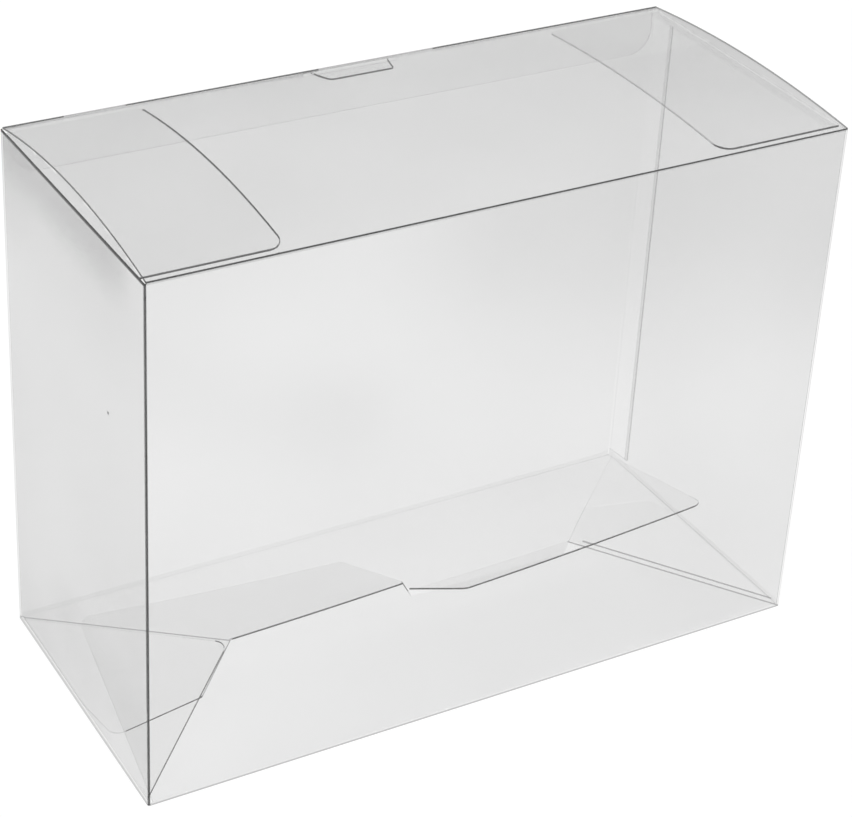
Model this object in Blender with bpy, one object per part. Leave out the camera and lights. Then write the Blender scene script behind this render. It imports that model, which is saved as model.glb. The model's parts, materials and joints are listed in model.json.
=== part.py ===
# Clear folding box that protects a boxed figure: one die-cut, creased and glued sheet of
# PET film. Four walls stand on a crash-lock bottom, and a tuck lid closes the top over two
# dust flaps. A small tab on the back wall locks the lid through a slit in its fold.
#
# Metres, +Z up. +X runs along the width, -Y is the front, where the lid is hinged.
# The origin is under the middle of the box, on the surface that it stands on.

import math

import bmesh
import bpy
from mathutils import Matrix, Vector

# The box
WIDTH = 0.210
DEPTH = 0.094
HEIGHT = 0.161
SHEET = 0.0005
CLEARANCE = 0.0003
FOLD_RADIUS = 0.0003

# Lid, dust flaps and lock. The lid arches over the dust flaps, more on the left.
LID_RISE_LEFT = 0.0046
LID_RISE_RIGHT = 0.0026
LID_INSET = 0.0005
TUCK_LENGTH = 0.014
TUCK_RADIUS = 0.008
TUCK_LEAN = math.radians(4)
TUCK_SIDE_GAP = 0.0008
SLIT_LOCK_LENGTH = 0.008
LOCK_SLIT_WIDTH = 0.030
TAB_WIDTH = 0.0248
TAB_TIP_WIDTH = 0.0200
TAB_LENGTH = 0.0087
TAB_RADIUS = 0.0016
TAB_RISE = 0.0009
DUST_LENGTH = 0.0398
DUST_FRONT_GAP = 0.0038
DUST_BACK_GAP = 0.0030
DUST_FRONT_RADIUS = 0.0045
DUST_BACK_RADIUS = 0.0022
DUST_RISE_LEFT = 0.0036
DUST_RISE_RIGHT = 0.0020

# Glued seam up the back right fold
SEAM_WIDTH = 0.0108
SEAM_BOTTOM_GAP = 0.0026
SEAM_TAPER = 0.0012

# Crash-lock bottom. Each large flap has a glue tab at one end and a hook at the other. The
# hooks cross at the middle, and stand higher towards their free ends, as the springy film
# does in an empty box. Each side flap is bonded to the glue tab under it.
FLOOR_SLOPE = 0.17
FLOOR_CURL = 0.14
BACK_HOOK_REACH = 0.0592
FRONT_HOOK_REACH = 0.0622
HOOK_RUN = 0.0138
HOOK_STEP = 0.0040
HOOK_RADIUS = 0.0040
FLAP_END_GAP = 0.0016
FLAP_RELIEF = 0.0044
FLAP_START_GAP = 0.0010
GLUE_TAB_WIDTH = 0.0300
GLUE_TAB_RADIUS = 0.0040
GLUE_TAB_INSET = 0.0030
SIDE_FLAP_START_GAP = 0.0016
SIDE_FLAP_CREASE_GAP = 0.0025
SIDE_FLAP_RADIUS = 0.0040
SIDE_FLAP_SLACK = 0.0040

# Glued or joined pieces run into each other by this much
BOND = 0.1 * SHEET

# How finely curved film is divided
ARCH_STEPS = 16
LID_STEPS = 6
DUST_STEPS = 4
TAB_STEPS = 5
CURL_STEPS = 14
FLOOR_STEPS = 4
ARC_STEP = math.radians(15)
WELD = 0.00001

# Places that several pieces share
LEFT = -WIDTH / 2
RIGHT = WIDTH / 2
FRONT = -DEPTH / 2
BACK = DEPTH / 2
WALL_TOP = HEIGHT - SHEET - CLEARANCE
ROOT = SHEET / 2
HINGE_Y = FRONT + SHEET / 2
HINGE_Z = HEIGHT - SHEET / 2
LID_BACK = BACK - SHEET - CLEARANCE

# Clear PET film
FILM_COLOUR = (0.90, 0.93, 0.94, 1.0)
FILM_ROUGHNESS = 0.06
FILM_IOR = 1.57
FILM_ALPHA = 0.25


def clear_scene():
    for obj in list(bpy.data.objects):
        bpy.data.objects.remove(obj)


def new_collection(name, hidden=False):
    collection = bpy.data.collections.new(name)
    bpy.context.scene.collection.children.link(collection)
    collection.hide_render = hidden
    return collection


def film_material(name):
    material = bpy.data.materials.new(name)
    material.use_nodes = True
    surface = material.node_tree.nodes["Principled BSDF"]
    surface.inputs["Base Color"].default_value = FILM_COLOUR
    surface.inputs["Roughness"].default_value = FILM_ROUGHNESS
    surface.inputs["Metallic"].default_value = 0
    surface.inputs["IOR"].default_value = FILM_IOR
    surface.inputs["Alpha"].default_value = FILM_ALPHA
    return material


def rounded(corners):
    """An outline from (x, y, radius) corners, with an arc in place of each rounded one."""
    outline = []
    count = len(corners)
    for i, (x, y, radius) in enumerate(corners):
        corner = Vector((x, y))
        if radius == 0:
            outline.append(corner)
            continue
        before = (Vector(corners[i - 1][:2]) - corner).normalized()
        after = (Vector(corners[(i + 1) % count][:2]) - corner).normalized()
        half_angle = before.angle(after) / 2
        centre = corner + (before + after).normalized() * radius / math.sin(half_angle)
        start = corner + before * radius / math.tan(half_angle) - centre
        turn = start.angle_signed(corner + after * radius / math.tan(half_angle) - centre)
        steps = max(2, round(abs(turn) / ARC_STEP))
        for step in range(steps + 1):
            angle = -turn * step / steps
            outline.append(centre + Matrix.Rotation(angle, 2) @ start)
    return outline


def sheet(name, outlines, thickness=SHEET):
    """A flat piece with its underside at z = 0, from a filled 2D curve."""
    curve = bpy.data.curves.new(name, "CURVE")
    curve.dimensions = "2D"
    curve.fill_mode = "BOTH"
    curve.extrude = thickness / 2
    for outline in outlines:
        spline = curve.splines.new("POLY")
        spline.points.add(len(outline) - 1)
        for point, (x, y) in zip(spline.points, outline):
            point.co = (x, y, 0, 1)
        spline.use_cyclic_u = True
    drawn = bpy.data.objects.new(name + " outline", curve)
    bpy.context.scene.collection.objects.link(drawn)
    graph = bpy.context.evaluated_depsgraph_get()
    mesh = bpy.data.meshes.new_from_object(drawn.evaluated_get(graph))
    bpy.data.objects.remove(drawn)
    mesh.name = name
    mesh.transform(Matrix.Translation((0, 0, thickness / 2)))
    work = bmesh.new()
    work.from_mesh(mesh)
    bmesh.ops.remove_doubles(work, verts=work.verts, dist=WELD)
    bmesh.ops.dissolve_limit(
        work, angle_limit=math.radians(1), verts=work.verts, edges=work.edges
    )
    work.to_mesh(mesh)
    work.free()
    return mesh


def crease(mesh, point, across):
    """A line of edges where the upright plane through point, facing across, meets the mesh."""
    work = bmesh.new()
    work.from_mesh(mesh)
    everything = work.verts[:] + work.edges[:] + work.faces[:]
    bmesh.ops.bisect_plane(
        work, geom=everything, dist=WELD / 10, plane_co=point, plane_no=across
    )
    work.to_mesh(mesh)
    work.free()


def divide(mesh, axis, low, high, steps):
    across = Vector((0, 0, 0))
    across[axis] = 1
    for step in range(1, steps):
        crease(mesh, across * (low + (high - low) * step / steps), across)


def lift(mesh, height):
    """Raises each point by the height at its place, so that a flat sheet takes its form."""
    work = bmesh.new()
    work.from_mesh(mesh)
    for vertex in work.verts:
        vertex.co.z += height(vertex.co.x, vertex.co.y)
    bmesh.ops.triangulate(work, faces=work.faces)
    work.to_mesh(mesh)
    work.free()


def add_object(collection, name, mesh, material):
    obj = bpy.data.objects.new(name, mesh)
    collection.objects.link(obj)
    mesh.materials.clear()
    mesh.materials.append(material)
    return obj


def hide_tool(obj):
    obj.hide_render = True
    obj.display_type = "WIRE"


def boolean(target, tool, operation):
    modifier = target.modifiers.new(tool.name, "BOOLEAN")
    modifier.operation = operation
    modifier.solver = "EXACT"
    modifier.object = tool
    hide_tool(tool)


def box_tool(collection, name, low, high):
    mesh = bpy.data.meshes.new(name)
    work = bmesh.new()
    bmesh.ops.create_cube(work, size=1)
    size = Vector(high) - Vector(low)
    middle = (Vector(high) + Vector(low)) / 2
    bmesh.ops.scale(work, verts=work.verts, vec=size)
    bmesh.ops.translate(work, verts=work.verts, vec=middle)
    work.to_mesh(mesh)
    work.free()
    obj = bpy.data.objects.new(name, mesh)
    collection.objects.link(obj)
    return obj


def arch(share):
    """The height of a shallow arch, 1 at its middle and 0 at both ends."""
    return 4 * share * (1 - share)


def walls():
    """The four walls as one tube, with a small radius at each upright fold."""
    outlines = []
    for inset, radius in ((0, FOLD_RADIUS + SHEET), (SHEET, FOLD_RADIUS)):
        corners = [
            (LEFT + inset, FRONT + inset, radius),
            (RIGHT - inset, FRONT + inset, radius),
            (RIGHT - inset, BACK - inset, radius),
            (LEFT + inset, BACK - inset, radius),
        ]
        outlines.append(rounded(corners))
    return sheet("walls", outlines, WALL_TOP)


def dust_flap(name, rise):
    """A flap that folds in from the left wall. It bows up along its free edge."""
    front = FRONT + DUST_FRONT_GAP
    back = BACK - DUST_BACK_GAP
    free = LEFT + DUST_LENGTH
    corners = [
        (LEFT + ROOT, front, 0),
        (free, front, DUST_FRONT_RADIUS),
        (free, back, DUST_BACK_RADIUS),
        (LEFT + ROOT, back, 0),
    ]
    mesh = sheet(name, [rounded(corners)])
    divide(mesh, 1, front, back, ARCH_STEPS)
    divide(mesh, 0, LEFT, free, DUST_STEPS)

    def height(x, y):
        out = (x - LEFT - ROOT) / (DUST_LENGTH - ROOT)
        return WALL_TOP - SHEET + rise * out * arch((y - front) / (back - front))

    lift(mesh, height)
    return mesh


def lock_tab():
    tip = BACK - TAB_LENGTH
    corners = [
        (-TAB_WIDTH / 2, BACK - ROOT, 0),
        (TAB_WIDTH / 2, BACK - ROOT, 0),
        (TAB_TIP_WIDTH / 2, tip, TAB_RADIUS),
        (-TAB_TIP_WIDTH / 2, tip, TAB_RADIUS),
    ]
    mesh = sheet("lock tab", [rounded(corners)])
    divide(mesh, 1, tip, BACK, TAB_STEPS)
    lift(mesh, lambda x, y: WALL_TOP - SHEET + TAB_RISE * ((BACK - y) / TAB_LENGTH) ** 2)
    return mesh


def seam():
    """The glue flap: a strip from the back wall, bonded inside the right wall."""
    low = SEAM_BOTTOM_GAP
    high = WALL_TOP - SHEET - CLEARANCE
    corners = [
        (ROOT, low, 0),
        (SEAM_WIDTH, low + SEAM_TAPER, 0),
        (SEAM_WIDTH, high - SEAM_TAPER, 0),
        (ROOT, high, 0),
    ]
    mesh = sheet("seam", [rounded(corners)], SHEET + BOND)
    upright = Matrix(((0, 0, 1, RIGHT - 2 * SHEET), (-1, 0, 0, BACK), (0, 1, 0, 0), (0, 0, 0, 1)))
    mesh.transform(upright)
    mesh.flip_normals()
    return mesh


def large_flap(name, reach):
    """The back bottom flap with its glue tab, worked out from its glued corner at the left."""
    middle = DEPTH / 2
    step_low = middle - HOOK_STEP / 2
    tab_front = DEPTH - GLUE_TAB_WIDTH
    notch = WIDTH / 2 + CLEARANCE / 2
    outline = [
        (FLAP_START_GAP, ROOT, 0),
        (WIDTH - FLAP_END_GAP, ROOT, 0),
        (WIDTH - FLAP_END_GAP - FLAP_RELIEF, reach, HOOK_RADIUS),
        (notch + HOOK_RUN, reach, HOOK_RADIUS),
        (notch, step_low + HOOK_STEP, 0),
        (notch, step_low, 0),
        (middle, middle, 0),
        (GLUE_TAB_WIDTH, tab_front, 0),
        (GLUE_TAB_INSET, tab_front, GLUE_TAB_RADIUS),
        (FLAP_START_GAP, middle, 0),
    ]
    mesh = sheet(name, [[(LEFT + u, BACK - v) for u, v in rounded(outline)]])
    crease(mesh, (LEFT, BACK, 0), (1, 1, 0))
    divide(mesh, 0, LEFT + middle, RIGHT, CURL_STEPS)
    divide(mesh, 1, BACK - reach, BACK, FLOOR_STEPS)

    def height(x, y):
        u = x - LEFT
        v = BACK - y
        if u < v and u < middle:
            return FLOOR_SLOPE * u
        curl = max(0, (u - middle) / (WIDTH - middle))
        return (FLOOR_SLOPE + FLOOR_CURL * curl**2) * v

    lift(mesh, height)
    return mesh


def side_flap(name):
    """The left bottom flap. It lies on the glue tab, and drops to the base in front of it."""
    tip = (DEPTH - SIDE_FLAP_CREASE_GAP) / 2
    corners = [
        (LEFT + ROOT, FRONT + SIDE_FLAP_START_GAP, 0),
        (LEFT + tip, FRONT + tip, SIDE_FLAP_RADIUS),
        (LEFT + ROOT, BACK - SIDE_FLAP_CREASE_GAP, 0),
    ]
    mesh = sheet(name, [rounded(corners)])
    drop = GLUE_TAB_WIDTH - SIDE_FLAP_SLACK
    crease(mesh, (LEFT, FRONT + drop, 0), (0, 1, 0))

    def height(x, y):
        onto_tab = min(1, (y - FRONT) / drop)
        return FLOOR_SLOPE * (x - LEFT) + (SHEET - BOND) * onto_tab

    lift(mesh, height)
    return mesh


def mirrored(mesh):
    mesh.transform(Matrix.Scale(-1, 4, (1, 0, 0)))
    mesh.flip_normals()
    return mesh


def half_turned(mesh):
    mesh.transform(Matrix.Rotation(math.pi, 4, "Z"))
    return mesh


def build_case(collection, tools, material):
    case = add_object(collection, "case", walls(), material)
    pieces = [
        dust_flap("left dust flap", DUST_RISE_LEFT),
        mirrored(dust_flap("right dust flap", DUST_RISE_RIGHT)),
        lock_tab(),
        seam(),
        large_flap("back bottom flap", BACK_HOOK_REACH),
        half_turned(large_flap("front bottom flap", FRONT_HOOK_REACH)),
        side_flap("left bottom flap"),
        half_turned(side_flap("right bottom flap")),
    ]
    for mesh in pieces:
        boolean(case, add_object(tools, mesh.name, mesh, material), "UNION")


def lid_panel():
    corners = [
        (LEFT + LID_INSET, FRONT, 0),
        (RIGHT - LID_INSET, FRONT, 0),
        (RIGHT - LID_INSET, LID_BACK, 0),
        (LEFT + LID_INSET, LID_BACK, 0),
    ]
    mesh = sheet("lid", [rounded(corners)])
    divide(mesh, 1, FRONT, LID_BACK, ARCH_STEPS)
    divide(mesh, 0, LEFT, RIGHT, LID_STEPS)

    def height(x, y):
        rise = LID_RISE_LEFT + (LID_RISE_RIGHT - LID_RISE_LEFT) * (x - LEFT) / WIDTH
        return HEIGHT - SHEET + rise * arch((y - FRONT) / (LID_BACK - FRONT))

    lift(mesh, height)
    return mesh


def tuck_flap():
    """The lid's flap inside the back wall, leaning in a little so that it slides past it."""
    half = RIGHT - 2 * SHEET - TUCK_SIDE_GAP
    corners = [
        (-half, 0, 0),
        (half, 0, 0),
        (half, TUCK_LENGTH - ROOT, TUCK_RADIUS),
        (-half, TUCK_LENGTH - ROOT, TUCK_RADIUS),
    ]
    mesh = sheet("tuck flap", [rounded(corners)])
    sine = math.sin(TUCK_LEAN)
    cosine = math.cos(TUCK_LEAN)
    down = Matrix(
        (
            (1, 0, 0, 0),
            (0, -sine, cosine, LID_BACK - SHEET * cosine),
            (0, -cosine, -sine, HEIGHT - ROOT),
            (0, 0, 0, 1),
        )
    )
    mesh.transform(down)
    return mesh


def build_lid(collection, tools, material):
    lid = add_object(collection, "lid", lid_panel(), material)
    tuck = add_object(tools, "tuck flap", tuck_flap(), material)
    slit_top = HEIGHT - SHEET - BOND
    slit_bottom = WALL_TOP - SHEET - CLEARANCE
    behind = LID_BACK + SHEET
    before = LID_BACK - 3 * SHEET
    half_slit = LOCK_SLIT_WIDTH / 2
    lock_slit = box_tool(
        tools, "lock slit", (-half_slit, before, slit_bottom), (half_slit, behind, slit_top)
    )
    boolean(lid, tuck, "UNION")
    boolean(lid, lock_slit, "DIFFERENCE")
    for name, side in (("left slit lock", -1), ("right slit lock", 1)):
        ends = sorted((side * (RIGHT - SLIT_LOCK_LENGTH), side * (RIGHT + SHEET)))
        slit = box_tool(
            tools,
            name,
            (ends[0], before, slit_top - CLEARANCE),
            (ends[1], behind, slit_top),
        )
        boolean(lid, slit, "DIFFERENCE")
    axis = Vector((0, HINGE_Y, HINGE_Z))
    for obj in [lid] + [modifier.object for modifier in lid.modifiers]:
        obj.data.transform(Matrix.Translation(-axis))
        obj.location = axis


def main():
    clear_scene()
    parts = new_collection("figure box protector")
    tools = new_collection("joined and cutting shapes", hidden=True)
    build_case(parts, tools, film_material("case film"))
    build_lid(parts, tools, film_material("lid film"))


main()
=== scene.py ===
# %% [markdown]
# # A clear folding box, dressed for its portrait
#
# The object is a protector for a boxed figure: one sheet of clear PET film, half a
# millimetre thick, creased and folded into a box. Clear film on a white ground is a
# hard subject. It has almost no colour of its own, so what we see is a faint grey veil
# that deepens where panels overlap, and thin dark lines where the film is creased or cut.
# This lesson loads the finished solids, and then spends its effort on those two things.

# %% Load the finished solids
import json
import math

import bmesh
import bpy
from mathutils import Matrix, Vector
from mathutils.bvhtree import BVHTree


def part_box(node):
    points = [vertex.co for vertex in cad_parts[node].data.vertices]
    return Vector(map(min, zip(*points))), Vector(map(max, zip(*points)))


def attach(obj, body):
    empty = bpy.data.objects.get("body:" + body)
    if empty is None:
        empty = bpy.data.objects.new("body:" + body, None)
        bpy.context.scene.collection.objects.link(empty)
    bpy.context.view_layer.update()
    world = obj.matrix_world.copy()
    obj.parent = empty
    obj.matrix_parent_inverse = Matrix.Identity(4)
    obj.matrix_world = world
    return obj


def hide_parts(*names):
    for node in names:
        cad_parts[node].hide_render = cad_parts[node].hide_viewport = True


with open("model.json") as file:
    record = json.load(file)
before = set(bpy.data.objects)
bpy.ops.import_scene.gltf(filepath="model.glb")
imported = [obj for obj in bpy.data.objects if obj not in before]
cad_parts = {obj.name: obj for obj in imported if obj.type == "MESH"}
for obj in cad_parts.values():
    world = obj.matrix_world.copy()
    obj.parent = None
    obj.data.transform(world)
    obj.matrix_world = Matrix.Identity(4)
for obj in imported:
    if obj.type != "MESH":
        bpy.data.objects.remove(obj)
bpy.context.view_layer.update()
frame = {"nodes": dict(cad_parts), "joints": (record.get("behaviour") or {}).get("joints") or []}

case = frame["nodes"]["case"]
lid = frame["nodes"]["lid"]
for node in (case, lid):
    print(node.name, "has", len(node.data.polygons), "triangles")

# %% [markdown]
# ## The places that matter
#
# Every crease of a folding box runs along a straight line between two corners, so a short
# list of corners is enough to describe them all. The outer corners come from the solids'
# own box and from the lid's hinge, and the rest from how such a bottom is cut: its folds
# run at 45 degrees from the corners to the middle of the depth. Lengths are in metres. The
# sheet has its thickness, and a small gap lies between parts that only rest on each other.

# %% Corners and heights, from the frame
SHEET = 0.0005
GAP = 0.0003
low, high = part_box("case")
LEFT, RIGHT = low.x, high.x
FRONT, BACK = low.y, high.y
DEPTH = BACK - FRONT
hinge = Vector(frame["joints"][0]["pos_m"])
HEIGHT = hinge.z + SHEET / 2
WALL_TOP = HEIGHT - SHEET - GAP
LID_BACK = BACK - SHEET - GAP
FLOOR_SLOPE = 0.17
LEFT_APEX = Vector((LEFT + DEPTH / 2, 0, FLOOR_SLOPE * DEPTH / 2))
RIGHT_APEX = Vector((-LEFT_APEX.x, 0, LEFT_APEX.z))
print("box", [round(1000 * v, 1) for v in (RIGHT - LEFT, DEPTH, HEIGHT)], "mm")

# %% [markdown]
# ## A copy that can be finished
#
# A solid from CAD arrives as loose triangles. They are enough for a plain colour, but a
# crease needs faces of its own. So each node is copied, its doubles are merged into one
# closed skin, and the copy becomes the piece that is seen, while the node itself stays
# hidden for collision. The faces where the film was cut through are found first, by their
# shape: such a face is as narrow as the sheet is thick, it meets its neighbours at a right
# angle, and a ray sent into it doesn't come out again after one thickness.

# %% Copy a node and find its cut faces
MERGE_WITHIN = 0.000002
RAY_START = 0.00001
NARROW = 1.2 * SHEET
LONG_SIDE = 0.4
SHARP_TURN = math.radians(50)
THICKER = 1.02 * SHEET


def thickness_at(face, skin):
    """How far a ray goes into the solid from the middle of a face before it is out again."""
    start = face.calc_center_median() - face.normal * RAY_START
    return skin.ray_cast(start, -face.normal)[3] or 0


def is_cut(face, skin):
    """True for the narrow faces where the film was cut through."""
    lengths = [edge.calc_length() for edge in face.edges]
    longest = max(lengths)
    if 2 * face.calc_area() / longest > NARROW:
        return False
    turns = [
        edge.calc_face_angle(0)
        for edge, length in zip(face.edges, lengths)
        if length > LONG_SIDE * longest
    ]
    return max(turns) > SHARP_TURN and thickness_at(face, skin) > THICKER


def merged_copy(node):
    """A closed copy of a node, with its cut faces noted in a layer."""
    sheet = bmesh.new()
    sheet.from_mesh(node.data)
    bmesh.ops.remove_doubles(sheet, verts=sheet.verts, dist=MERGE_WITHIN)
    sheet.normal_update()
    skin = BVHTree.FromBMesh(sheet)
    cut_layer = sheet.faces.layers.int.new("cut")
    for face in sheet.faces:
        face[cut_layer] = is_cut(face, skin)
    return sheet


def cut_faces(sheet):
    cut_layer = sheet.faces.layers.int["cut"]
    return {face for face in sheet.faces if face[cut_layer]}


case_sheet = merged_copy(case)
lid_sheet = merged_copy(lid)
print("cut faces of the case", len(cut_faces(case_sheet)), "and the lid", len(cut_faces(lid_sheet)))

# %% [markdown]
# ## Pressed lines
#
# A steel rule presses each crease in the flat sheet before it is folded. A bmesh operator,
# bisect_plane, does that work here: it adds edges where a plane meets the sheet, and two
# such lines leave a narrow strip beside a crease. A grid of wider lines gives a wall
# enough points to carry a soft shade. Points that lie on the plane already are kept.

# %% Press lines and grids
ON_PLANE = 0.000005


def press_line(sheet, point, normal, inside=None):
    """Adds edges where a plane meets the sheet, or only its faces that pass a test."""
    faces = [face for face in sheet.faces if inside is None or inside(face)]
    edges = {edge for face in faces for edge in face.edges}
    verts = {vert for edge in edges for vert in edge.verts}
    bmesh.ops.bisect_plane(
        sheet,
        geom=faces + list(edges) + list(verts),
        dist=ON_PLANE,
        plane_co=point,
        plane_no=normal,
    )


def press_levels(sheet, axis, levels, inside):
    """Presses a line across the chosen faces at each level of one axis."""
    normal = [0, 0, 0]
    normal[axis] = 1
    for level in levels:
        point = [level if i == axis else 0 for i in range(3)]
        press_line(sheet, point, normal, inside)


def steps(first, last, step):
    """The levels between two ends, one step apart, without the ends."""
    return [first + step * i for i in range(1, math.ceil((last - first) / step))]


# %% [markdown]
# ## The rim of a cut
#
# A die presses the film a little before it cuts through, so the very rim of each flap is
# bent and grey. From above this rim shows as much as the cut face itself. The flaps lie
# nearly level, so upright planes beside each cut edge, a rim's width inside it, cut the
# rim from the flap. Edges that share one line share one plane.

# %% Press a rim beside the cut edges
RIM = 0.00020
LEVEL = 0.5


def level_border(edge, cuts):
    """The level face beside a cut edge, or nothing."""
    if len(edge.link_faces) != 2:
        return None
    one, other = edge.link_faces
    if (one in cuts) == (other in cuts):
        return None
    wide = other if one in cuts else one
    return wide if abs(wide.normal.z) > LEVEL else None


def rims_of(sheet):
    """The upright planes beside the cut edges, each with how far its edges reach."""
    cuts = cut_faces(sheet)
    rims = {}
    for edge in sheet.edges:
        wide = level_border(edge, cuts)
        start, end = (vert.co for vert in edge.verts)
        run = Vector((end.x - start.x, end.y - start.y, 0))
        if wide is None or run.length < RIM:
            continue
        run.normalize()
        inward = Vector((-run.y, run.x, 0))
        if inward.dot(wide.calc_center_median() - start) < 0:
            inward.negate()
        along = sorted((run.dot(start), run.dot(end)))
        height = round((start.z + end.z) / HEIGHT)
        key = (round(inward.x, 2), round(inward.y, 2), round(inward.dot(start), 4), height)
        if key in rims:
            old = rims[key]
            same = 1 if run.dot(old[1]) > 0 else -1
            along = sorted((same * along[0], same * along[1]))
            old[2] = min(old[2], along[0])
            old[3] = max(old[3], along[1])
        else:
            rims[key] = [inward, run, along[0], along[1], start + inward * RIM]
    return rims


def press_rims(sheet):
    rims = rims_of(sheet)
    for (_, _, _, height), (inward, run, first, last, point) in rims.items():

        def beside(face):
            if abs(face.normal.z) < LEVEL:
                return False
            if abs(2 * face.calc_center_median().z / HEIGHT - height) > 1:
                return False
            apart = [inward.dot(vert.co - point) for vert in face.verts]
            along = [run.dot(vert.co) for vert in face.verts]
            near = -2 * RIM < min(apart) < 0 < max(apart)
            return near and min(along) < last and max(along) > first

        press_line(sheet, point, inward, beside)
    print("pressed", len(rims), "rims")


def is_beside_cut(face, middle, cuts):
    """True for the faces of a rim: level, touching a cut face, and close to its edge."""
    if abs(face.normal.z) < LEVEL:
        return False
    for vert in face.verts:
        for near in vert.link_faces:
            if near not in cuts:
                continue
            outward = Vector((near.normal.x, near.normal.y, 0))
            if outward.length < LEVEL:
                continue
            outward.normalize()
            if -RIM < outward.dot(middle - near.verts[0].co) <= 0:
                return True
    return False


# %% [markdown]
# ## Marks on the faces
#
# Every crease of a folding box is a straight line between two points, so a table of lines
# says where they are, and how dark each one shows. The marks are stored on the faces as
# numbers, which a shader can read as attributes, so the lines stay sharp at any distance.
# A line is dark in its core, and paler in the flank around it.

# %% Store the lines and the veil
CORE = 0.8
FLANK = 0.5
BESIDE_SHARE = 0.8


def distance_to_line(point, start, end):
    run = end - start
    along = min(1.0, max(0.0, (point - start).dot(run) / run.length_squared))
    return (point - start - run * along).length


def crease_darkness(middle, creases):
    """How dark the creases make a place: a dark core with a paler flank."""
    darkest = 0.0
    for start, end, reach, darkness in creases.values():
        apart = distance_to_line(middle, Vector(start), Vector(end))
        if apart < reach:
            darkest = max(darkest, darkness if apart < CORE * reach else FLANK * darkness)
    return darkest


def mark_faces(sheet, creases, cut_darkness, veil_share):
    """Stores on each face how dark its line is, and how much of the veil it carries."""
    line_layer = sheet.faces.layers.float.new("line")
    veil_layer = sheet.faces.layers.float.new("veil")
    sheet.normal_update()
    skin = BVHTree.FromBMesh(sheet)
    cuts = cut_faces(sheet)
    counts = {"crease": 0, "cut": 0, "beside": 0}
    for face in sheet.faces:
        middle = face.calc_center_median()
        line = crease_darkness(middle, creases)
        if line:
            counts["crease"] += 1
        elif face in cuts:
            line = cut_darkness(middle, face.normal)
            counts["cut"] += 1
        elif is_beside_cut(face, middle, cuts):
            line = BESIDE_SHARE * cut_darkness(middle, Vector((0, 0, 0)))
            counts["beside"] += 1
        face[line_layer] = line
        face[veil_layer] = veil_share(face, middle, skin)
    print("faces", len(sheet.faces), "of them", counts)


# %% [markdown]
# ## Soft painted shades, and the finished piece
#
# A soft painted shade is darkness painted into the film's veil. It is stored at the corners of
# the faces, and fades between them. It is strongest along a line and falls off with a slope
# that starts and ends level. When all marks are in place the bmesh becomes an object. It is
# smooth over gentle bends, such as the arch of the lid, and its edges are sharp at creases and
# cuts. The cut layer has done its work and goes.

# %% Store the shades and finish a piece
GENTLE_BEND = math.radians(20)


def mark_painted_shades(sheet, shades):
    """Stores soft painted shades at face corners. Each fades out from a line on one wall."""
    painted_shade_layer = sheet.loops.layers.float.new("shade")
    for on_wall, start, end, inner, outer, amount in shades:
        for face in filter(on_wall, sheet.faces):
            for corner in face.loops:
                apart = distance_to_line(corner.vert.co, Vector(start), Vector(end))
                fade = min(1.0, max(0.0, (outer - apart) / (outer - inner)))
                corner[painted_shade_layer] += amount * fade * fade * (3 - 2 * fade)


def finish_piece(sheet, name, material, node, body):
    """Makes the piece, smooth over its gentle bends and sharp at creases and cuts."""
    for face in sheet.faces:
        face.smooth = True
    for edge in sheet.edges:
        edge.smooth = edge.calc_face_angle(0) < GENTLE_BEND
    sheet.faces.layers.int.remove(sheet.faces.layers.int["cut"])
    mesh = bpy.data.meshes.new(name)
    sheet.to_mesh(mesh)
    sheet.free()
    mesh.materials.append(material)
    piece = bpy.data.objects.new(name, mesh)
    bpy.context.scene.collection.objects.link(piece)
    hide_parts(node)
    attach(piece, body)
    print(name, "has", len(mesh.polygons), "faces")


# %% [markdown]
# ## Small helpers for shader trees
#
# A shader tree written by hand is mostly wiring. Two helpers keep it readable: one makes
# a node and feeds its inputs, and one does arithmetic.


# %% Helpers for nodes
def add_node(tree, kind, inputs=(), **settings):
    """A node with its settings and inputs: a link for a socket, or else a plain value."""
    node = tree.nodes.new(kind)
    for name, value in settings.items():
        setattr(node, name, value)
    for key, value in dict(inputs).items():
        if isinstance(value, bpy.types.NodeSocket):
            tree.links.new(value, node.inputs[key])
        else:
            node.inputs[key].default_value = value
    return node


def math_node(tree, operation, *values, clamp=False):
    inputs = dict(enumerate(values))
    node = add_node(tree, "ShaderNodeMath", inputs, operation=operation, use_clamp=clamp)
    return node.outputs["Value"]


# %% [markdown]
# ## Two effects as node groups
#
# The case and the lid are the same film under different light, so each gets a material of
# its own, and what they share is built once, as node groups. One group makes the film a
# little uneven, with slow clouds of noise. The other lays the dark lines over the film: it
# takes the alpha of the clear film and the line mark, and puts out an alpha and a colour.

# %% The two groups
FULLY_DARK = 4


def new_group(name, inputs, outputs):
    """An empty group, with its inner input and output nodes."""
    group = bpy.data.node_groups.new(name, "ShaderNodeTree")
    for direction, sockets in (("INPUT", inputs), ("OUTPUT", outputs)):
        for socket, kind in sockets.items():
            group.interface.new_socket(socket, in_out=direction, socket_type="NodeSocket" + kind)
    return group, group.nodes.new("NodeGroupInput"), group.nodes.new("NodeGroupOutput")


def cloud_group():
    sockets = {"Point": "Vector", "Scale": "Float", "Share": "Float"}
    group, outside, result = new_group("Clouds in the film", sockets, {"Evenness": "Float"})
    taken = outside.outputs
    inputs = {"Vector": taken["Point"], "Scale": taken["Scale"], "Detail": 1}
    clouds = add_node(group, "ShaderNodeTexNoise", inputs).outputs["Fac"]
    centred = math_node(group, "SUBTRACT", clouds, 0.5)
    evenness = math_node(group, "MULTIPLY_ADD", centred, taken["Share"], 1)
    group.links.new(evenness, result.inputs["Evenness"])
    return group


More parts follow.
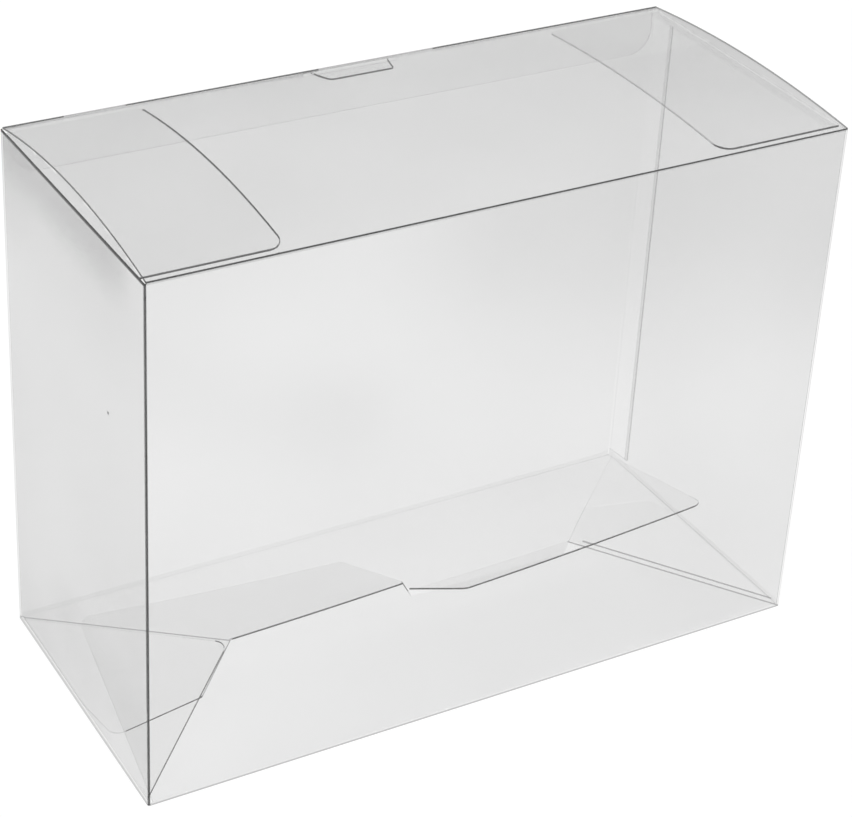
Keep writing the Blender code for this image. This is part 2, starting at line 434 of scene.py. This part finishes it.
def line_group():
    sockets = {"Clear": "Float", "Line": "Float", "Film": "Color", "Dark": "Color"}
    outputs = {"Alpha": "Float", "Colour": "Color"}
    group, outside, result = new_group("Lines over the film", sockets, outputs)
    taken = outside.outputs
    alpha = math_node(group, "MAXIMUM", taken["Clear"], taken["Line"], clamp=True)
    dark = math_node(group, "MULTIPLY", taken["Line"], FULLY_DARK, clamp=True)
    tint = add_node(group, "ShaderNodeMix", {"Factor": dark}, data_type="RGBA")
    group.links.new(taken["Film"], tint.inputs["A"])
    group.links.new(taken["Dark"], tint.inputs["B"])
    group.links.new(alpha, result.inputs["Alpha"])
    group.links.new(tint.outputs["Result"], result.inputs["Colour"])
    return group


CLOUDS = cloud_group()
LINES = line_group()
for group in (CLOUDS, LINES):
    print(group.name, "has", len(group.nodes), "nodes")

# %% [markdown]
# ## The film itself
#
# A pane of film passes most light, turns a little away, and turns more away the more
# sideways we look at it. Real refraction would be the obvious choice, but in a white room
# it renders as nothing at all, because all that it bends and mirrors is white. So the film
# is a Principled surface that is mostly see-through by its Alpha. Layer Weight's Facing
# raises that alpha at grazing angles, and the marks on the faces say where it is raised
# further. A wall has two faces, and each of them carries half of its veil.

# %% The material of the film
FILM_GREY = (0.20, 0.20, 0.20, 1.0)
LINE_GREY = (0.02, 0.02, 0.02, 1.0)
FILM_ROUGHNESS = 0.07
FILM_IOR = 1.57
GRAZING_POWER = 3
CLOUD_SCALE = 16
CLOUD_SHARE = 0.4


def read_mark(tree, name):
    mark = add_node(tree, "ShaderNodeAttribute", attribute_type="GEOMETRY", attribute_name=name)
    return mark.outputs["Fac"]


def place_group(tree, group, inputs):
    return add_node(tree, "ShaderNodeGroup", inputs, node_tree=group).outputs


def film_material(name, veil, grazing_veil, with_painted_shade=False):
    """Clear film with a veil, more of it at grazing angles, and the marks of its faces."""
    material = bpy.data.materials.new(name)
    material.use_nodes = True
    tree = material.node_tree
    surface = tree.nodes["Principled BSDF"]
    surface.inputs["Roughness"].default_value = FILM_ROUGHNESS
    surface.inputs["IOR"].default_value = FILM_IOR
    place = tree.nodes.new("ShaderNodeTexCoord").outputs["Object"]
    facing = add_node(tree, "ShaderNodeLayerWeight", {"Blend": 0.5}).outputs["Facing"]
    grazing = math_node(tree, "POWER", facing, GRAZING_POWER)
    even = math_node(tree, "MULTIPLY_ADD", grazing, grazing_veil, veil)
    # The painted shade stored at the corners adds to the veil.
    if with_painted_shade:
        even = math_node(tree, "ADD", even, read_mark(tree, "shade"))
    clouds = place_group(
        tree, CLOUDS, {"Point": place, "Scale": CLOUD_SCALE, "Share": CLOUD_SHARE}
    )
    cloudy = math_node(tree, "MULTIPLY", even, clouds["Evenness"])
    clear = math_node(tree, "MULTIPLY", cloudy, read_mark(tree, "veil"))
    lines = place_group(
        tree,
        LINES,
        {"Clear": clear, "Line": read_mark(tree, "line"), "Film": FILM_GREY, "Dark": LINE_GREY},
    )
    tree.links.new(lines["Alpha"], surface.inputs["Alpha"])
    tree.links.new(lines["Colour"], surface.inputs["Base Color"])
    return material


# %% [markdown]
# ## The creases of the case
#
# In the photo the crease at the front left corner and the one above the left wall are
# nearly black, while those at the back and along the base hardly show. Each crease has its
# own darkness for that reason. The folds of the bottom flaps run at 45 degrees, from the
# corners to the middle of the depth. One crumb of dirt on the left wall is a line too, if
# a very short one.

# %% Lines of the case: start, end, reach, darkness
IN = 0.00045
MID = SHEET / 2
REACH = 0.00047
WIDE_REACH = 0.00065
TAB_REACH = 0.00042
SPECK = Vector((LEFT, -0.0239, 0.1115))
SPECK_SIZE = 0.0009
SPECK_TOP = SPECK + Vector((0, 0, SPECK_SIZE / 9))


def upright(x, y, darkness):
    return (x, y, 0), (x, y, WALL_TOP), REACH, darkness


def lengthwise(y, z, darkness):
    return (LEFT, y, z), (RIGHT, y, z), REACH, darkness


def crosswise(x, z, darkness, reach=REACH):
    return (x, FRONT, z), (x, BACK, z), reach, darkness


case_creases = {
    "front left": upright(LEFT + IN, FRONT + IN, 0.80),
    "front right": upright(RIGHT - IN, FRONT + IN, 0.30),
    "back left": upright(LEFT + IN, BACK - IN, 0.12),
    "back right": upright(RIGHT - IN, BACK - IN, 0.10),
    "top front": lengthwise(FRONT + MID, WALL_TOP, 0.25),
    "top left": crosswise(LEFT, WALL_TOP, 0.97, WIDE_REACH),
    "top right": crosswise(RIGHT - MID, WALL_TOP, 0.08),
    "top back": lengthwise(BACK - MID, WALL_TOP, 0.15),
    "base front": lengthwise(FRONT + MID, 0, 0.30),
    "base left": crosswise(LEFT + MID, 0, 0.30),
    "base back": lengthwise(BACK - MID, 0, 0.05),
    "base right": crosswise(RIGHT - MID, 0, 0.08),
    "left glue tab": ((LEFT, BACK, 0), LEFT_APEX, TAB_REACH, 0.45),
    "right glue tab": ((RIGHT, FRONT, 0), RIGHT_APEX, TAB_REACH, 0.50),
    "speck": (SPECK, SPECK_TOP, SPECK_SIZE / 3, 0.9),
}
print("the case has", len(case_creases) - 1, "creases and a speck")

# %% [markdown]
# ## The cut edges of the case
#
# A cut edge catches the light where it faces us, and is lost behind other layers. So the
# edges of the dust flaps, of the lock tab and of the bottom's front half are dark, and
# those of its rear half are hardly there. A place on the sheet is told by its height, by
# the wall it is near to, and by the slope at which a flap rises.

# %% Darkness of the cut edges
CUT_DARKNESS = {
    "left dust flap": 0.95,
    "right dust flap": 0.38,
    "front ends and lock tab": 0.92,
    "back ends": 0.05,
    "seam": 0.38,
    "top of a wall": 0.10,
    "beside a side wall": 0.15,
    "facing up or down": 0.0,
    "rear of the bottom": 0.04,
    "right side flap": 0.50,
    "ends of the bottom": 0.12,
    "front of the bottom": 0.85,
}
NEAR_WALL = 4 * SHEET
BACK_END = 0.004
SIDE_END = 0.007


def on_slope(middle):
    """True at the height of the side flaps, which rise from the side walls."""
    return abs(middle.z - FLOOR_SLOPE * (RIGHT - abs(middle.x))) < 3 * SHEET


def top_edge(middle):
    """The name of a cut edge that lies level with the walls' tops."""
    if middle.y < FRONT + DEPTH / 12 or abs(middle.x) < DEPTH / 4:
        return "front ends and lock tab"
    if middle.y > BACK - BACK_END:
        return "back ends"
    return "left dust flap" if middle.x < 0 else "right dust flap"


def bottom_edge(middle, normal):
    """The name of a cut edge down in the bottom."""
    if abs(middle.x) > RIGHT - NEAR_WALL:
        return "beside a side wall"
    if abs(normal.z) > LEVEL:
        return "facing up or down"
    if middle.y > (DEPTH / 40 if middle.x < 0 else -DEPTH / 40):
        return "rear of the bottom"
    if on_slope(middle) and RIGHT - middle.x < middle.y - FRONT:
        return "right side flap"
    return "ends of the bottom" if abs(middle.x) > RIGHT - SIDE_END else "front of the bottom"


def case_cut(middle, normal):
    """How dark a cut edge of the case shows, by where it is."""
    if middle.z > WALL_TOP - SHEET:
        return CUT_DARKNESS[top_edge(middle)]
    if middle.z > 3 * LEFT_APEX.z:
        return CUT_DARKNESS["seam" if normal.y < -LEVEL else "top of a wall"]
    return CUT_DARKNESS[bottom_edge(middle, normal)]


# %% [markdown]
# ## The veil of the case
#
# Film that covers film looks darker than either, and here each layer would add its whole
# veil. In the photo the sum is smaller, so layers that cover each other carry less. The
# side flaps, the glue flap of the seam and the large bottom flaps have shares of their own.
# Beside some folds the film is painted greyer, as painted shade: along the base, and along the
# dust flaps' creases, where the grey grows with the arch of the lid above. The left wall
# carries a little more veil than the right, as painted shade.

# %% Shares of the veil, by place
CASE_VEIL = {
    "edge of the seam": 2.6,
    "seam": 0.45,
    # Painted shade: the film is greyer beside the dust flaps' creases.
    "left fold": 1.9,
    "right fold": 0.6,
    "lock tab": 0.15,
    "dust flap": 0.30,
    "left side flap": 0.65,
    "left side flap, glued": 1.1,
    "right side flap": 0.72,
    "right side flap, glued": 0.92,
    "back flap": 0.84,
    "back flap over side flap": 0.26,
    "front flap under the hook": 0.45,
    # Painted shade along the base, and a greyer left wall than right.
    "foot of a wall": 1.5,
    "left wall": 1.12,
    "right wall": 0.9,
    "front or back wall": 1.0,
}
SEAM_EDGE = BACK - 0.0109
SEAM_BAND = 0.0014
BASE_BAND = 0.0014
CREASE_BAND = 0.0042
DOUBLE = 1.3 * SHEET
OVER_SIDE_FLAP = 0.0598
HOOK_START, UNDER_HOOK, HOOK_END = -0.020, -0.004, 0.020
FRONT_FLAP_VEIL = 1.12
MORE_TO_THE_RIGHT = 1.5
LESS_TO_THE_BACK = 12


def in_seam(middle):
    """True on the glue flap, which is bonded inside the right wall at the back."""
    inside_wall = SHEET < RIGHT - middle.x - SHEET / 2 < 2 * SHEET
    return inside_wall and middle.y > SEAM_EDGE and middle.z > SHEET


def arch_width(y, at_ends, at_middle, shift=0.0):
    """The width of a zone along a side that grows with the arch of the lid."""
    bow = max(0.0, 1 - ((y - shift) / BACK) ** 2)
    return at_ends + (at_middle - at_ends) * bow


def top_place(middle):
    """The name of a place on the dust flaps or the lock tab."""
    if middle.x - LEFT < arch_width(middle.y, at_ends=0.0012, at_middle=0.0040, shift=0.007):
        return "left fold"
    if middle.x > RIGHT - CREASE_BAND:
        return "right fold"
    return "lock tab" if abs(middle.x) < DEPTH / 4 else "dust flap"


def bottom_place(face, middle, skin):
    """The name of a place in the bottom. The side flaps lean to the left or right."""
    if on_slope(middle) and abs(face.normal.x) > abs(face.normal.y):
        side = "left side flap" if middle.x < 0 else "right side flap"
        glued = face.normal.z < 0 and thickness_at(face, skin) > DOUBLE
        return side + ", glued" if glued else side
    if face.normal.y * face.normal.z > 0:
        over_side_flap = middle.x - middle.y >= OVER_SIDE_FLAP
        return "back flap over side flap" if over_side_flap else "back flap"
    under_hook = middle.x > 0 and middle.y > UNDER_HOOK
    return "front flap under the hook" if under_hook else "front flap"


def wall_place(middle):
    """The name of a place on the four walls."""
    if middle.z < BASE_BAND and (middle.y > BACK - SHEET or middle.x > RIGHT - SHEET):
        return "foot of a wall"
    if middle.x < LEFT + 2 * SHEET:
        return "left wall"
    return "right wall" if middle.x > RIGHT - 2 * SHEET else "front or back wall"


def case_place(face, middle, skin):
    if in_seam(middle):
        return "edge of the seam" if middle.y < SEAM_EDGE + SEAM_BAND else "seam"
    if middle.z > WALL_TOP - SHEET:
        return top_place(middle)
    if abs(middle.x) < RIGHT - NEAR_WALL and abs(middle.y) < BACK - NEAR_WALL:
        return bottom_place(face, middle, skin)
    return wall_place(middle)


def case_veil(face, middle, skin):
    """How much of the film's veil a place carries. The front flap's is graded."""
    place = case_place(face, middle, skin)
    if place != "front flap":
        return CASE_VEIL[place]
    past_hook = max(0.0, middle.y - HOOK_START)
    return FRONT_FLAP_VEIL + MORE_TO_THE_RIGHT * middle.x - LESS_TO_THE_BACK * past_hook


# %% [markdown]
# ## The case, pressed
#
# Six planes press the strips of the upright and level creases. Slanting planes at 45
# degrees press the folds of the bottom flaps and the line up to which the back flap covers
# a side flap, and only there. Where the veil changes, the sheet is pressed too: along the
# base, beside the seam, and in fine steps along the left dust flap's crease. The left and
# front walls get a grid for their soft painted shades, and the crumb of dirt a tiny square.

# %% Where to press
GRID = 0.008
FINE = 0.0006
SLACK = FINE / 9
UPRIGHT = 0.9
PLUMB = 0.1
PANEL_AREA = 0.0005


def in_bottom(face):
    return max(vert.co.z for vert in face.verts) < 2.5 * LEFT_APEX.z


def in_top(face):
    return min(vert.co.z for vert in face.verts) > WALL_TOP - 2 * SHEET


def in_left_fold(face):
    return in_top(face) and max(vert.co.x for vert in face.verts) < LEFT + CREASE_BAND + SLACK


def on_left_wall(face):
    return abs(face.normal.x) > UPRIGHT and face.calc_center_median().x < LEFT + 2 * SHEET


def on_front_wall(face):
    return abs(face.normal.y) > UPRIGHT and face.calc_center_median().y < FRONT + 2 * SHEET


def on_a_wall(face):
    return abs(face.normal.z) < PLUMB and face.calc_area() > PANEL_AREA


def near_speck(face):
    apart = (face.calc_center_median() - SPECK).length
    return on_left_wall(face) and face.normal.x < 0 and apart < 1.2 * GRID


def on_seam(face):
    return abs(face.normal.x) > UPRIGHT and in_seam(face.calc_center_median())


# %% Press the creases and the zones of the veil
STRIP = 0.00040
TAB_STRIP = 0.00035
GRADED_FROM = 0.045
for level in (STRIP, WALL_TOP - STRIP):
    press_line(case_sheet, (0, 0, level), (0, 0, 1))
for side in (-1, 1):
    press_line(case_sheet, (side * (RIGHT - SHEET - STRIP), 0, 0), (1, 0, 0))
    press_line(case_sheet, (0, side * (BACK - SHEET - STRIP), 0), (0, 1, 0))
    press_line(case_sheet, (side * (RIGHT - CREASE_BAND), 0, 0), (1, 0, 0), in_top)
    for apex in (LEFT_APEX, RIGHT_APEX):
        across = Vector((1, 1, 0)).normalized()
        press_line(case_sheet, apex + across * side * TAB_STRIP, across, in_bottom)
press_levels(case_sheet, 0, steps(LEFT, LEFT + CREASE_BAND, FINE), in_left_fold)
press_levels(case_sheet, 1, steps(FRONT, BACK, GRID / 2), in_left_fold)
press_levels(case_sheet, 2, [BASE_BAND], on_a_wall)
press_levels(case_sheet, 1, [SEAM_EDGE + SEAM_BAND], on_seam)
press_line(case_sheet, (OVER_SIDE_FLAP, 0, 0), Vector((1, -1, 0)).normalized(), in_bottom)
press_levels(case_sheet, 0, steps(GRADED_FROM, RIGHT - GRID, GRID), in_bottom)
press_levels(case_sheet, 1, steps(HOOK_START, HOOK_END, GRID), in_bottom)
press_rims(case_sheet)
print("the case has", len(case_sheet.faces), "faces so far")

# %% Press the grids and the speck
UNDER_TOP = 0.002
TOP_STEP = 0.0015
TOP_STEPS = 12
levels = steps(0, WALL_TOP, GRID)
top_levels = [WALL_TOP - UNDER_TOP - TOP_STEP * i for i in range(TOP_STEPS)]
press_levels(case_sheet, 1, steps(FRONT, BACK, GRID), on_left_wall)
press_levels(case_sheet, 2, levels + top_levels, on_left_wall)
press_levels(case_sheet, 0, steps(LEFT, RIGHT, GRID), on_front_wall)
press_levels(case_sheet, 2, levels, on_front_wall)
for axis in (1, 2):
    middle = SPECK[axis]
    press_levels(case_sheet, axis, (middle - SPECK_SIZE / 2, middle + SPECK_SIZE / 2), near_speck)
print("the case has", len(case_sheet.faces), "faces after pressing")

# %% [markdown]
# ## The case, marked
#
# The painted shades are a table as well. Each one has a wall, a line on it or just off it, the
# distance within which it is full, the distance at which it is gone, and its amount. Five
# lie on the left wall, most of them under its top fold, and three on the front wall. Those
# under the top fold paint shade there, and those on the front wall paint dark reflections.
# The other two make the left wall darker along the bottom of its rear half and a little
# above its base near the middle.

# %% Mark the case: wall, start, end, full within, gone from, amount
mark_faces(case_sheet, case_creases, case_cut, case_veil)
TOP_LEFT = (LEFT, BACK, WALL_TOP)
ABOVE_FRONT = HEIGHT + 0.004
case_painted_shades = [
    # Painted shade under the left wall's top fold, deepest at the back.
    (on_left_wall, TOP_LEFT, (LEFT, FRONT + 0.024, WALL_TOP), 0.002, 0.019, 0.125),
    (on_left_wall, TOP_LEFT, (LEFT, BACK, WALL_TOP - 0.012), 0.004, 0.030, 0.050),
    (on_left_wall, TOP_LEFT, (LEFT, FRONT + 0.042, WALL_TOP), 0.008, 0.055, 0.045),
    # Darker along the bottom of the left wall's rear half, and a little above its base.
    (on_left_wall, (LEFT, BACK, 0), (LEFT, 0, 0.004), 0.004, 0.030, 0.030),
    (on_left_wall, (LEFT, -0.040, 0.022), (LEFT, 0.008, 0.026), 0.004, 0.015, 0.030),
    # Painted dark reflections on the front wall: upper right, along the top, and a band.
    (on_front_wall, (RIGHT, FRONT, WALL_TOP), (0.035, FRONT, 0.170), 0.028, 0.088, 0.080),
    (on_front_wall, (LEFT, FRONT, ABOVE_FRONT), (RIGHT, FRONT, ABOVE_FRONT), 0.004, 0.045, 0.028),
    (on_front_wall, (LEFT, FRONT, 0.130), (-0.050, FRONT, 0.108), 0.002, 0.022, 0.022),
]
mark_painted_shades(case_sheet, case_painted_shades)
case_film = film_material("case film", veil=0.061, grazing_veil=0.236, with_painted_shade=True)
finish_piece(case_sheet, "case_sheet", case_film, "case", "case")

# %% [markdown]
# ## The lid
#
# The lid is the same film, lying on the dust flaps. Its left and right sides are cut, its
# front turns at the hinge and its back folds down into the tuck flap. It takes the most
# light of all, so its veil is the strongest. Along the back the fold is dark and pale by
# turns, so that line is made of stretches. The tuck flap hardly shows through the lid, so
# it carries only a quarter of the veil, and the lid is a trifle paler above it. Beside its
# right edge the lid is greyer, in a margin that grows with its arch.

# %% Lines of the lid: start, end, reach, darkness
HINGE_REACH = 0.0005
BACK_REACH = 0.0006
BACK_LINE = {LEFT: 0.92, -0.087: 0.45, -0.069: 0.92, -0.010: 0.45, 0.027: 0.92}
fold_z = HEIGHT - SHEET / 2
lid_creases = {"front": ((LEFT, FRONT, fold_z), (RIGHT, FRONT, fold_z), HINGE_REACH, 0.95)}
ends = list(BACK_LINE)[1:] + [RIGHT]
for (start, darkness), end in zip(BACK_LINE.items(), ends):
    line = ((start, LID_BACK, HEIGHT), (end, LID_BACK, HEIGHT), BACK_REACH, darkness)
    lid_creases[f"back from {1000 * start:.0f}"] = line
print("the lid has", len(lid_creases), "lines")

# %% Marks of the lid, and build it
LID_RIM = 0.00015
OVER_TUCK = 0.0125
LID_MARGIN = 0.0048
LID_CUT = {"left": 0.95, "right": 0.68, "tuck flap": 0.18}
LID_VEIL = {"right margin": 1.45, "over the tuck flap": 0.93, "lid": 1.0, "tuck flap": 0.25}


def lid_cut(middle, normal):
    """How dark a cut edge of the lid shows, by where it is."""
    if middle.z < HEIGHT - SHEET:
        return LID_CUT["tuck flap"]
    return LID_CUT["left" if middle.x < 0 else "right"]


def lid_veil(face, middle, skin):
    """How much of the film's veil a place on the lid carries."""
    if middle.z < HEIGHT - 2 * SHEET:
        return LID_VEIL["tuck flap"]
    if RIGHT - middle.x < arch_width(middle.y, at_ends=0.0008, at_middle=LID_MARGIN):
        return LID_VEIL["right margin"]
    return LID_VEIL["over the tuck flap" if middle.y > OVER_TUCK else "lid"]


def in_lid_margin(face):
    return min(vert.co.x for vert in face.verts) > RIGHT - LID_MARGIN - SLACK


lid_low, lid_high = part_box("lid")
press_line(lid_sheet, (0, LID_BACK - STRIP, 0), (0, 1, 0))
press_line(lid_sheet, (0, OVER_TUCK, 0), (0, 1, 0))
press_line(lid_sheet, (0, 0, HEIGHT - SHEET), (0, 0, 1))
for x in (lid_low.x + LID_RIM, *ends[:-1], RIGHT - LID_MARGIN):
    press_line(lid_sheet, (x, 0, 0), (1, 0, 0))
press_levels(lid_sheet, 0, steps(RIGHT - LID_MARGIN, lid_high.x, FINE), in_lid_margin)
press_levels(lid_sheet, 1, steps(FRONT, BACK, GRID / 2), in_lid_margin)
mark_faces(lid_sheet, lid_creases, lid_cut, lid_veil)
lid_film = film_material("lid film", veil=0.127, grazing_veil=0.36)
finish_piece(lid_sheet, "lid_sheet", lid_film, "lid", "lid")

# %% [markdown]
# ## A white room
#
# The photo has no visible floor, only white. A wide disc stands in for it. Seen directly
# it is white, and it keeps a little of the soft shadow. Rays that only light the object
# find a pale grey floor and an even sky, so that colours render as they are written.

# %% The floor
FLOOR_RADIUS = 6.0
FLOOR_DROP = 0.0002
FLOOR_GREY = (0.9, 0.9, 0.9, 1)
FLOOR_ROUGHNESS = 0.9
SHADOW_SHARE = 0.15
SEEN_WHITE = 1.06


def seen_ray(tree):
    """1 for rays from the camera, and for those that mirror or pass through something."""
    rays = tree.nodes.new("ShaderNodeLightPath").outputs
    mirrored = math_node(tree, "MAXIMUM", rays["Is Glossy Ray"], rays["Is Transmission Ray"])
    return math_node(tree, "MAXIMUM", rays["Is Camera Ray"], mirrored)


def floor_paint():
    """Grey paint that lights the object, under a white glow that only the eye sees."""
    material = bpy.data.materials.new("white floor")
    material.use_nodes = True
    tree = material.node_tree
    paint = tree.nodes["Principled BSDF"]
    paint.inputs["Base Color"].default_value = FLOOR_GREY
    paint.inputs["Roughness"].default_value = FLOOR_ROUGHNESS
    paint.inputs["Specular IOR Level"].default_value = 0.0
    glow = add_node(tree, "ShaderNodeEmission", {"Strength": SEEN_WHITE})
    share = math_node(tree, "MULTIPLY", seen_ray(tree), 1 - SHADOW_SHARE)
    mix = add_node(
        tree,
        "ShaderNodeMixShader",
        {"Fac": share, 1: paint.outputs["BSDF"], 2: glow.outputs["Emission"]},
    )
    tree.links.new(mix.outputs["Shader"], tree.nodes["Material Output"].inputs["Surface"])
    return material


mesh = bpy.data.meshes.new("floor")
disc = bmesh.new()
bmesh.ops.create_circle(disc, cap_ends=True, segments=96, radius=FLOOR_RADIUS)
bmesh.ops.translate(disc, verts=disc.verts, vec=(0, 0, -FLOOR_DROP))
disc.to_mesh(mesh)
disc.free()
floor = bpy.data.objects.new("floor", mesh)
bpy.context.scene.collection.objects.link(floor)
mesh.materials.append(floor_paint())
print("the floor is", 2 * FLOOR_RADIUS, "metres wide")

# %% [markdown]
# ## Sky and lamp
#
# The sky is white to the eye and a little weaker as a light, and one large round lamp, up
# and to the front left, adds the rest. A lamp of that size casts only soft shadows.


# %% Sky and lamp
def even_sky(strength):
    world = bpy.data.worlds.new("white room")
    bpy.context.scene.world = world
    world.use_nodes = True
    tree = world.node_tree
    light = math_node(tree, "MULTIPLY_ADD", seen_ray(tree), 1 - strength, strength)
    tree.links.new(light, tree.nodes["Background"].inputs["Strength"])
    tree.nodes["Background"].inputs["Color"].default_value = (1, 1, 1, 1)


def soft_lamp(name, place, target, size, power):
    light = bpy.data.lights.new(name, "AREA")
    light.shape = "DISK"
    light.size = size
    light.energy = power
    lamp = bpy.data.objects.new(name, light)
    lamp.location = place
    aim = Vector(target) - Vector(place)
    lamp.rotation_euler = aim.to_track_quat("-Z", "Y").to_euler()
    bpy.context.scene.collection.objects.link(lamp)
    print("the lamp", name, "hangs", round(aim.length, 2), "metres from the box")


even_sky(strength=0.75)
soft_lamp("key", place=(-0.9, -0.5, 1.5), target=(0, 0, HEIGHT / 2), size=0.9, power=9)

# %% [markdown]
# ## The camera
#
# The photo was solved for its camera: where its eight box corners lie in the picture fixes
# the place, the direction and the focal length. The picture was cropped from a larger one,
# and a small shift brings back part of that crop. Here the camera stands where the solve
# put it, seen from the middle of the base.

# %% Camera
PICTURE_WIDTH = 852
SENSOR = 36
FOCAL_PIXELS = 2478.3
CAMERA_PLACE = (-0.3120, -0.5189, 0.4463)
camera_data = bpy.data.cameras.new("camera")
camera = bpy.data.objects.new("camera", camera_data)
bpy.context.scene.collection.objects.link(camera)
bpy.context.scene.camera = camera
camera_data.sensor_width = SENSOR
camera_data.lens = FOCAL_PIXELS * SENSOR / PICTURE_WIDTH
camera_data.shift_x = 0.0662
camera_data.shift_y = -0.1126
forward = Vector((0.4305, 0.7557, -0.4936)).normalized()
right = Vector((0.8786, -0.4760, 0.0377))
right = (right - forward * right.dot(forward)).normalized()
up = right.cross(forward)
camera.matrix_world = Matrix.Translation(CAMERA_PLACE) @ Matrix(
    (
        (right.x, up.x, -forward.x, 0),
        (right.y, up.y, -forward.y, 0),
        (right.z, up.z, -forward.z, 0),
        (0, 0, 0, 1),
    )
)
print("the lens is", round(camera_data.lens, 1), "mm")

# %% [markdown]
# ## Last settings
#
# A sight line through this box can pass twenty faces of film and more, so Cycles is allowed
# a few over that before it gives up. The view transform is Standard, which shows white as
# white.

FACES_IN_A_ROW = 32
bpy.context.scene.view_settings.view_transform = "Standard"
bpy.context.scene.cycles.transparent_max_bounces = FACES_IN_A_ROW
